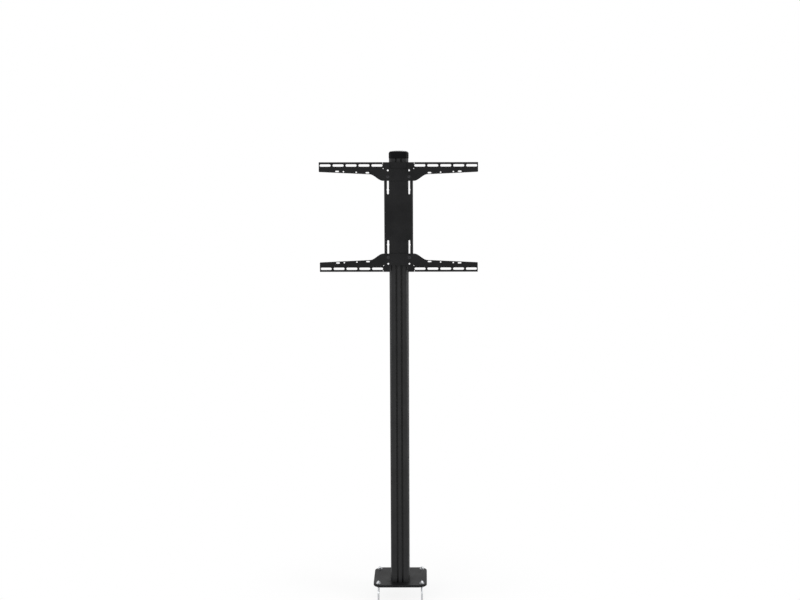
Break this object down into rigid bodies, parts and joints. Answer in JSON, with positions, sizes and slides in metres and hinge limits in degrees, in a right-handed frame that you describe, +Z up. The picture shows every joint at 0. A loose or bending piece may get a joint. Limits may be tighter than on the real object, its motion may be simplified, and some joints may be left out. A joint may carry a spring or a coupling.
{
  "type": "floor-bolted column stand with slotted panel mount",
  "caption": "Tall slim floor-bolted column on a square plate, carrying a height-adjustable spine with two winged, slotted brackets for a flat panel.",
  "frame": {"origin": "middle of the foot plate's underside, on the floor; the anchors reach below it", "axes": "+Z up along the column, front of the mount towards -Y, +X to the right seen from the front"},
  "size_m": [0.615, 0.215, 1.8106],
  "materials": {
    "powder_coat": "satin black powder coat on steel",
    "anodised": "black anodised extrusion",
    "moulded_plastic": "fine-grained black moulding",
    "zinc": "bright zinc plate",
    "black_zinc": "black zinc plate",
    "cast_aluminium": "dark blasted aluminium"
  },
  "bodies": {
    "stand": {"anchor_nut_front_left": "zinc", "anchor_nut_front_right": "zinc", "anchor_nut_rear_left": "zinc", "anchor_nut_rear_right": "zinc", "anchor_rod_front_left": "zinc", "anchor_rod_front_right": "zinc", "anchor_rod_rear_left": "zinc", "anchor_rod_rear_right": "zinc", "anchor_sleeve_front_left": "zinc", "anchor_sleeve_front_right": "zinc", "anchor_sleeve_rear_left": "zinc", "anchor_sleeve_rear_right": "zinc", "anchor_washer_front_left": "zinc", "anchor_washer_front_right": "zinc", "anchor_washer_rear_left": "zinc", "anchor_washer_rear_right": "zinc", "base_plate": "powder_coat", "base_screw_front_left": "zinc", "base_screw_front_right": "zinc", "base_screw_rear_left": "zinc", "base_screw_rear_right": "zinc", "cable_cover": "moulded_plastic", "column": "anodised", "top_cap": "moulded_plastic"},
    "carrier": {"clamp_screw_lower_left": "black_zinc", "clamp_screw_lower_right": "black_zinc", "clamp_screw_upper_left": "black_zinc", "clamp_screw_upper_right": "black_zinc", "nut_bar_lower_left": "zinc", "nut_bar_lower_right": "zinc", "nut_bar_upper_left": "zinc", "nut_bar_upper_right": "zinc", "spacer_lower": "cast_aluminium", "spacer_upper": "cast_aluminium", "spine_plate": "powder_coat"},
    "upper_bracket": {"upper_bolt_left": "black_zinc", "upper_bolt_right": "black_zinc", "upper_bracket_plate": "powder_coat", "upper_nut_left": "zinc", "upper_nut_right": "zinc", "upper_washer_left": "zinc", "upper_washer_right": "zinc"},
    "lower_bracket": {"lower_bolt_left": "black_zinc", "lower_bolt_right": "black_zinc", "lower_bracket_plate": "powder_coat", "lower_nut_left": "zinc", "lower_nut_right": "zinc", "lower_washer_left": "zinc", "lower_washer_right": "zinc"}
  },
  "joints": [
    {"name": "mount_height", "type": "slide", "parent": "stand", "child": "carrier", "axis": [0, 0, 1], "range_m": [-1, 0]},
    {"name": "upper_bracket_slide", "type": "slide", "parent": "carrier", "child": "upper_bracket", "axis": [0, 0, 1], "range_m": [-0.064, 0]},
    {"name": "lower_bracket_slide", "type": "slide", "parent": "carrier", "child": "lower_bracket", "axis": [0, 0, 1], "range_m": [0, 0.064]}
  ]
}
